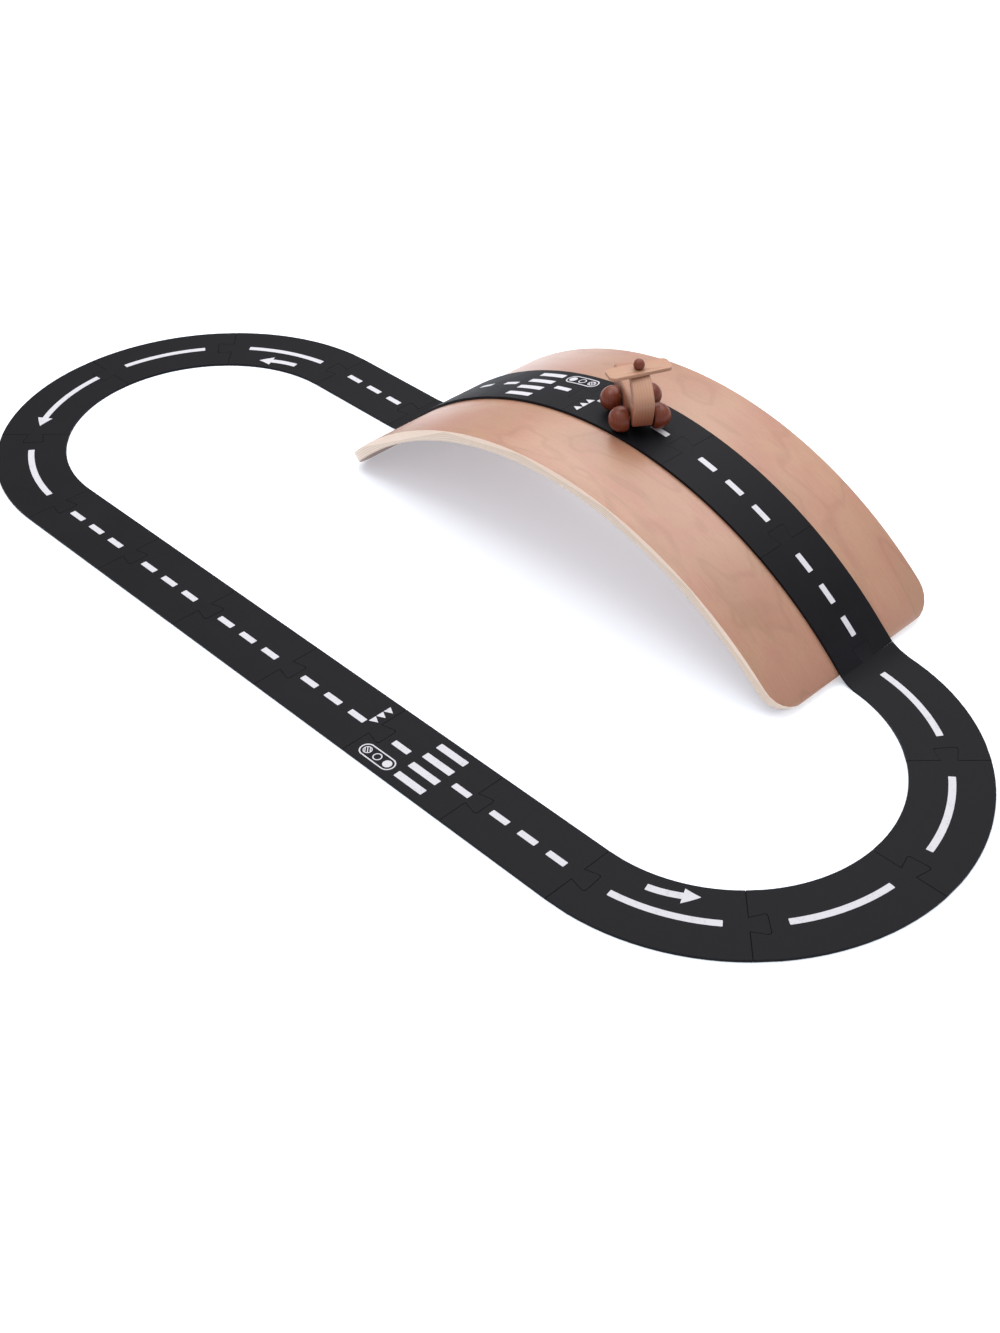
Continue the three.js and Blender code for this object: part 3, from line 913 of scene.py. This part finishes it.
@dataclass
class RoadLoop:
    """The road pieces with their eased edges, and the ink printed on each."""

    path: RoadPath
    stencil: Stencil
    rubber: MouldedRubber = field(default_factory=MouldedRubber)
    ink: RoadInk = field(default_factory=RoadInk)
    edge: float = 0.5 * MM
    edge_rounds: int = 2
    edge_degrees: float = 50.0
    smooth_degrees: float = 30.0
    print_smooth_degrees: float = 20.0
    seam: float = 0.19 * MM
    wall_tolerance: float = 0.019 * MM
    underside_slope: float = -0.5
    same_wall: float = 0.99
    ink_gap: float = 0.02 * MM
    ink_height: float = 0.18 * MM
    curves_per_turn: int = 4
    arch_extra: float = 8 * MM
    bend_step: float = 14 * MM
    socket_depth: float = 24.3 * MM
    seam_gap: float = 0.4 * MM
    dash_shares: tuple[float, ...] = (0.27, 0.538, 0.806)
    teeth_share: float = 0.902
    short_dash: float = 38 * MM
    crossing_dashes: tuple[float, ...] = (46 * MM, 147.5 * MM)
    zebra_place: float = 97 * MM
    zebra_lanes: tuple[float, ...] = (-32 * MM, -10.7 * MM, 10.7 * MM, 32 * MM)
    signal_place: Pair = (38.5 * MM, -29.5 * MM)
    teeth_lanes: tuple[float, ...] = (9.4 * MM, 20.7 * MM, 32 * MM)
    line_place: float = 104 * MM
    pointed_place: float = 96 * MM
    arrow_place: Pair = (106 * MM, 27.5 * MM)

    def courses(self) -> list[tuple[str, float, Marking]]:
        """Road pieces in driving order.

        Returns:
            Name, length and marking of each.
        """
        straight = self.path.straight
        curve = self.path.half_turn / self.curves_per_turn
        climbing = straight + self.arch_extra
        # The short piece closes what nine straights, three climbing ones and eight curves leave
        short = self.path.loop - 9 * straight - 3 * climbing - 8 * curve
        return [
            ("front_road_1", straight, Marking.PLAIN),
            ("front_road_2", straight, Marking.PLAIN),
            ("front_road_3", straight, Marking.PLAIN),
            ("front_road_4", straight, Marking.YIELD),
            ("front_crossing", straight, Marking.CROSSING),
            ("front_road_5", straight, Marking.PLAIN),
            ("right_curve_1", curve, Marking.CURVE_ARROW),
            ("right_curve_2", curve, Marking.CURVE),
            ("right_curve_3", curve, Marking.CURVE),
            ("right_curve_4", curve, Marking.CURVE),
            ("arch_road_1", climbing, Marking.PLAIN),
            ("arch_road_2", climbing, Marking.PLAIN),
            ("arch_road_3", climbing, Marking.YIELD),
            ("arch_crossing", straight, Marking.CROSSING),
            ("arch_short_road", short, Marking.SHORT),
            ("ramp_road", straight, Marking.PLAIN),
            ("back_road", straight, Marking.PLAIN),
            ("left_curve_1", curve, Marking.CURVE_ARROW),
            ("left_curve_2", curve, Marking.CURVE),
            ("left_curve_3", curve, Marking.CURVE_POINTED),
            ("left_curve_4", curve, Marking.CURVE),
        ]

    def marks(self, marking: Marking, length: float) -> list[tuple[str, float, float]]:
        """What a marking is made of.

        Args:
            marking: the kind of print.
            length: of the piece that it is printed on.

        Returns:
            Cut-out, distance from the piece's start and distance to the left, for each mark.
        """
        dashes = [("dash", share * length, 0.0) for share in self.dash_shares]
        teeth = [("tooth", self.teeth_share * length, t) for t in self.teeth_lanes]
        bars = [("bar", self.zebra_place, t) for t in self.zebra_lanes]
        apart = [("dash", s, 0.0) for s in self.crossing_dashes]
        line = ("line", self.line_place, 0.0)
        return {
            Marking.PLAIN: dashes,
            Marking.YIELD: dashes + teeth,
            Marking.CROSSING: [*bars, *apart, ("signal", *self.signal_place)],
            Marking.SHORT: [("dash", self.short_dash, 0.0)],
            Marking.CURVE: [line],
            Marking.CURVE_ARROW: [line, ("arrow", *self.arrow_place)],
            Marking.CURVE_POINTED: [("pointed", self.pointed_place, 0.0)],
        }[marking]

    def build(self) -> None:
        """Make every road piece and its print."""
        start = 0.0
        for node, length, marking in self.courses():
            self._piece(node)
            self._print(node, (start, length), self.marks(marking, length))
            start += length

    def _piece(self, node: str) -> None:
        """Ease the edges of one road piece and dress it in rubber.

        Args:
            node: its CAD node.
        """
        piece = copy_of(node, f"{node}_rubber")
        self._meet(piece)
        ease(piece, self.edge, self.edge_rounds, self.edge_degrees)
        smooth(piece, self.smooth_degrees)
        apply_modifier(piece, "WEIGHTED_NORMAL", keep_sharp=True)
        dress(piece, self.rubber.material(), node, "road")

    def _meet(self, piece: Piece) -> None:
        """Lean a piece's walls out to its underside, where soft rubber closes the seams.

        Args:
            piece: mesh object of a road piece.
        """
        mesh = piece.data
        low = [face for face in mesh.polygons if face.normal.z < self.underside_slope]
        under = {index for face in low for index in face.vertices}
        walls: dict[int, list[Vector]] = {}
        for face in mesh.polygons:
            spots = [mesh.vertices[index].co for index in face.vertices]
            sides = [(a - b).length for a, b in zip(spots, spots[1:] + spots[:1], strict=True)]
            if all(abs(side - self.path.thickness) > self.wall_tolerance for side in sides):
                continue
            for index in under.intersection(face.vertices):
                known = walls.setdefault(index, [])
                if all(face.normal.dot(other) < self.same_wall for other in known):
                    known.append(face.normal.copy())
        for index, normals in walls.items():
            first, last = normals[0], normals[-1]
            mesh.vertices[index].co += (first + last) * self.seam / (1 + first.dot(last))
        mesh.update()

    def _on_facets(self, reach: Pair, s: float, t: float, h: float) -> Vector:
        """Point on a piece that bends in short flat steps.

        Args:
            reach: where the piece starts along the road, and its length.
            s: distance from its start.
            t: distance to the left of its middle.
            h: height above its underside.

        Returns:
            The point.
        """
        start, length = reach
        body = length - self.seam_gap / 2 - self.socket_depth
        step = body / math.ceil(body / self.bend_step)
        index, share = divmod((s - self.socket_depth) / step, 1.0)
        first = start + self.socket_depth + index * step
        here, there = (self.path.point(place, t, h) for place in (first, first + step))
        return here.lerp(there, share)

    def _print(self, node: str, reach: Pair, marks: Iterable[tuple[str, float, float]]) -> None:
        """Lay copies of the cut-outs on one road piece, as thin films that follow its bends.

        Args:
            node: the piece's CAD node.
            reach: where the piece starts along the road, and its length.
            marks: cut-out, distance from the start and distance to the left, for each.
        """
        films = []
        for part, s, t in marks:
            film = bpy.data.objects.new(f"{node}_{part}", self.stencil.parts[part].data.copy())
            bpy.context.scene.collection.objects.link(film)
            film.data.transform(Matrix.Translation((s, t, 0.0)))
            films.append(film)
        select_only(*films)
        if len(films) > 1:
            bpy.ops.object.join()
        film = films[0]
        film.name = f"{node}_print"
        film.data.name = film.name
        apply_modifier(film, "SOLIDIFY", thickness=self.ink_height, offset=1.0)
        base = self.path.thickness + self.ink_gap
        for vertex in film.data.vertices:
            s, t, h = vertex.co
            vertex.co = self._on_facets(reach, s, t, base + h)
        film.data.update()
        smooth(film, self.print_smooth_degrees)
        dress(film, self.ink.material(), node)


@dataclass
class BentBoard:
    """The plywood bridge, with its sawn edges eased and the veneer laid along the bend."""

    path: RoadPath
    finish: BentPlywood = field(default_factory=BentPlywood)
    edge: float = 2.2 * MM
    edge_rounds: int = 3
    edge_degrees: float = 50.0
    smooth_degrees: float = 30.0

    def _on_sheet(self, corner: Vector) -> Vector:
        """Place on the unrolled sheet.

        Args:
            corner: place in the frame.

        Returns:
            Distance along the arc, across the board and above the hollow face.
        """
        x = corner.x - self.path.bridge_x
        z = corner.z - self.path.bridge_z
        along = math.atan2(x, z) * self.path.board_radius
        depth = math.hypot(x, z) - (self.path.board_radius - self.path.board_thickness)
        return Vector((along, corner.y - self.path.board_y, depth))

    def build(self) -> None:
        """Make the board."""
        board = copy_of("arch_board", "plywood_bridge")
        ease(board, self.edge, self.edge_rounds, self.edge_degrees)
        smooth(board, self.smooth_degrees)
        store_places(board, self.finish.ATTRIBUTE, self._on_sheet)
        dress(board, self.finish.material(), "arch_board", "plywood")


@dataclass
class BallVehicle:
    """The beech vehicle: sawn block, turning plank on a pin, and turned ball wheels on dowels."""

    path: RoadPath
    beech: OiledBeech = OiledBeech()
    # Beech of the block, with painted shade towards its bottom
    painted_low_shade: OiledBeech = OiledBeech(
        name="beech_painted_low_shade", painted_low_shade=replace(OiledBeech.painted_low_shade, share=0.82)
    )
    stained: OiledBeech = OiledBeech(
        name="stained_beech",
        light="#703320",
        ring=replace(OiledBeech.ring, code="#562413"),
        fleck=replace(OiledBeech.fleck, code="#35120A", share=0.4),
        gloss=0.36,
        roughness=0.36,
        coat=0.0,
        fleck_mm=(5.0, 0.8, 0.8),
    )
    heading: float = math.radians(-34)
    past_crest: float = 11.5 * MM
    before_road_middle: float = 3.5 * MM
    wheelbase: float = 49 * MM
    width: float = 26 * MM
    wheel_diameter: float = 32.8 * MM
    wheel_flat: float = 29.4 * MM
    wheel_gap: float = 3.1 * MM
    axle_hole: float = 6.6 * MM
    axle_past_wheel_middle: float = 6.3 * MM
    roof_height: float = 72.5 * MM
    rotor_ahead: float = 9.5 * MM
    rotor_thickness: float = 4.6 * MM
    rotor_turn: float = math.radians(11)
    running_gap: float = 0.4 * MM
    knob_diameter: float = 14.4 * MM
    knob_flat: float = 10.4 * MM
    pin_hole: float = 5.6 * MM
    pin_in_knob: float = 8 * MM
    ball_segments: int = 64
    ball_rings: int = 40
    turned_edge: float = 0.5 * MM
    turned_rounds: int = 3
    turned_degrees: float = 30.0
    smooth_degrees: float = 40.0

    def __post_init__(self) -> None:
        """Work out where the vehicle and its wheels stand."""
        self.wheel_drop = self._drop(self.wheel_diameter, self.wheel_flat)
        self.track = self.width + 2 * (self.wheel_gap + self.wheel_drop)
        top = self.path.radius + self.path.thickness
        ahead = self.wheelbase / 2 * math.cos(self.heading)
        aside = self.track / 2 * abs(math.sin(self.heading))
        reach = top + self.path.rest_gap + self.wheel_diameter / 2
        lift = math.sqrt(reach**2 - (ahead - aside) ** 2) - self.wheel_diameter / 2
        y = self.path.back_y - self.before_road_middle
        stand = Matrix.Translation((self.path.bridge_x, y, self.path.bridge_z))
        tilt = Matrix.Rotation(self.past_crest / top, 4, "Y")
        turn = Matrix.Rotation(self.heading, 4, "Z")
        self.place = stand @ tilt @ Matrix.Translation((0.0, 0.0, lift)) @ turn

    def build(self) -> None:
        """Make every piece of the vehicle."""
        across = Matrix.Rotation(math.pi / 2, 4, "Z")
        upright = Matrix.Rotation(math.pi / 2, 4, "Y")
        turned = Matrix.Rotation(self.rotor_turn + math.pi / 2, 4, "Z")
        for node, turn, finish in (
            ("fuselage", Matrix.Identity(4), self.painted_low_shade),
            ("rotor_blade", turned, self.beech),
            ("front_axle", across, self.beech),
            ("rear_axle", across, self.beech),
            ("rotor_pin", upright, self.beech),
        ):
            self._block(node, turn, finish)
        for end, sign in (("front", 1), ("rear", -1)):
            for side, hand in (("left", 1), ("right", -1)):
                self._wheel(f"{end}_{side}_wheel", sign, hand)
        self._knob()

    @staticmethod
    def _drop(diameter: float, flat: float) -> float:
        """How far a flat of this diameter lies below the middle of its ball."""
        return math.sqrt(diameter**2 - flat**2) / 2

    def _grain(self, turn: Matrix) -> Callable[[Vector], Vector]:
        """Give the function that turns places in the frame into a block's own directions."""
        back = (self.place @ turn).inverted()
        return lambda corner: back @ corner

    def _block(self, node: str, turn: Matrix, finish: OiledBeech) -> None:
        """Dress a sawn block or a dowel in beech, its faces smooth between its edges.

        Args:
            node: its CAD node.
            turn: how its grain lies in the vehicle.
            finish: the beech that it is made of.
        """
        piece = copy_of(node, f"{node}_beech")
        smooth(piece, self.smooth_degrees)
        store_places(piece, finish.ATTRIBUTE, self._grain(turn))
        dress(piece, finish.material(), node, "beech")

    def _ball(self, node: str, size: Pair, hole: float, depth: float, where: Matrix) -> None:
        """Turn a ball, cut it flat below, bore a hole up from the flat, and put it in its place.

        Args:
            node: its CAD node.
            size: diameters of the ball and of the flat.
            hole: diameter of the bore.
            depth: how far the bore's end lies above the ball's middle.
            where: the ball's place in the vehicle.
        """
        diameter, flat = size
        ball = start_piece(
            f"{node}_ball",
            bpy.ops.mesh.primitive_uv_sphere_add,
            segments=self.ball_segments,
            ring_count=self.ball_rings,
            radius=diameter / 2,
        )
        mouth = -self._drop(diameter, flat)
        cut = {"plane_co": (0.0, 0.0, mouth), "plane_no": (0.0, 0.0, 1.0)}
        bore = {"value": (0.0, 0.0, depth - mouth)}
        with editing(ball):
            bpy.ops.mesh.bisect(clear_inner=True, use_fill=True, **cut)
            bpy.ops.mesh.select_mode(type="FACE")
            bpy.ops.mesh.inset(thickness=(flat - hole) / 2)
            bpy.ops.mesh.extrude_region_move(TRANSFORM_OT_translate=bore)
            bpy.ops.mesh.select_all(action="SELECT")
            bpy.ops.mesh.normals_make_consistent(inside=False)
        ease(ball, self.turned_edge, self.turned_rounds, self.turned_degrees)
        ball.data.transform(self.place @ where)
        smooth(ball, self.smooth_degrees)
        store_places(ball, self.stained.ATTRIBUTE, self._grain(Matrix.Identity(4)))
        dress(ball, self.stained.material(), node, "stained_beech")

    def _wheel(self, node: str, end: int, hand: int) -> None:
        """Make one ball wheel with its flat towards the block.

        Args:
            node: its CAD node.
            end: 1 at the front and -1 at the rear.
            hand: 1 on the left and -1 on the right.
        """
        size = (self.wheel_diameter, self.wheel_flat)
        middle = (end * self.wheelbase / 2, hand * self.track / 2, self.wheel_diameter / 2)
        outward = Matrix.Rotation(-hand * math.pi / 2, 4, "X")
        where = Matrix.Translation(middle) @ outward
        self._ball(node, size, self.axle_hole, self.axle_past_wheel_middle, where)

    def _knob(self) -> None:
        """Make the ball that keeps the plank on its pin, with a flat under it."""
        size = (self.knob_diameter, self.knob_flat)
        drop = self._drop(*size)
        seat = self.roof_height + self.path.rest_gap + self.rotor_thickness + self.running_gap
        where = Matrix.Translation((self.rotor_ahead, 0.0, seat + drop))
        self._ball("rotor_knob", size, self.pin_hole, self.pin_in_knob - drop, where)


@dataclass(frozen=True)
class SoftLight:
    """A square soft light that faces the middle of the set."""

    name: str
    where: Triple
    side: float
    watts: float

    def hang(self) -> None:
        """Hang the light in its place."""
        data = bpy.data.lights.new(self.name, "AREA")
        data.shape = "SQUARE"
        data.size = self.side
        data.energy = self.watts
        lamp = bpy.data.objects.new(self.name, data)
        lamp.location = self.where
        lamp.rotation_euler = (-Vector(self.where)).to_track_quat("-Z", "Y").to_euler()
        bpy.context.scene.collection.objects.link(lamp)


@dataclass
class Studio:
    """White table, even light with bright panels behind, and the photograph's own camera."""

    table: StudioTable = field(default_factory=StudioTable)
    lights: tuple[SoftLight, ...] = (
        SoftLight("back_panel", (-0.95, 1.4, 1.85), 1.5, 17.0),
        SoftLight("high_panel", (0.4, 1.15, 1.75), 1.0, 8.0),
        SoftLight("soft_box", (-0.55, -0.25, 2.3), 1.2, 15.5),
    )
    floor_size: float = 60.0
    floor_cells: int = 4
    room: str = "#FFFFFF"
    wall_light: float = 0.28
    ceiling_light: float = 1.16
    camera_place: Triple = (1.4020, -1.2256, 1.3596)
    camera_ahead: Triple = (-0.54398, 0.54741, -0.63594)
    camera_up: Triple = (-0.44703, 0.45232, 0.77173)
    camera_sight: float = 50.0
    sensor_mm: float = 36.0
    lens_mm: float = 47.9
    shift_x: float = -0.0503

    def build(self) -> None:
        """Set up the floor, the light and the camera."""
        self._floor()
        self._world()
        for light in self.lights:
            light.hang()
        self._camera()

    def _floor(self) -> None:
        """Lay the table under the set."""
        floor = start_piece(
            "table_floor",
            bpy.ops.mesh.primitive_grid_add,
            x_subdivisions=self.floor_cells,
            y_subdivisions=self.floor_cells,
            size=self.floor_size,
            location=(0.0, 0.0, 0.0),
        )
        floor.data.materials.append(self.table.material())

    def _world(self) -> None:
        """Light the set from a white room that is brighter above than round about."""
        world = bpy.data.worlds.new("white_room")
        world.use_nodes = True
        world.node_tree.nodes.clear()
        add = functools.partial(add_node, world.node_tree)
        outward = add("TexCoord").outputs["Object"]
        height = add("SeparateXYZ", {0: outward}).outputs["Z"]
        strength = add(
            "MapRange",
            {"Value": height, "To Min": self.wall_light, "To Max": self.ceiling_light},
        )
        light = add("Background", {"Color": linear(self.room), "Strength": strength})
        add("OutputWorld", {"Surface": light})
        bpy.context.scene.world = world

    def _camera(self) -> None:
        """Stand the camera where the photograph was taken from."""
        data = bpy.data.cameras.new("photo_camera")
        data.sensor_width = self.sensor_mm
        data.lens = self.lens_mm
        data.shift_x = self.shift_x
        data.clip_end = self.camera_sight
        ahead, up = Vector(self.camera_ahead).normalized(), Vector(self.camera_up)
        right = ahead.cross(up).normalized()
        up = right.cross(ahead)
        turn = Matrix((right, up, -ahead)).transposed().to_4x4()
        camera = bpy.data.objects.new("photo_camera", data)
        camera.matrix_world = Matrix.Translation(self.camera_place) @ turn
        bpy.context.scene.collection.objects.link(camera)
        bpy.context.scene.camera = camera
        bpy.context.scene.view_settings.view_transform = "Standard"


def main() -> None:
    """Build the set piece by piece, then the studio round it."""
    logging.basicConfig(level=logging.INFO, format="%(name)s: %(message)s")
    path = RoadPath()
    stencil = Stencil()
    stencil.build()
    RoadLoop(path, stencil).build()
    stencil.clear()
    BentBoard(path).build()
    BallVehicle(path).build()
    Studio().build()


if __name__ == "__main__":
    main()
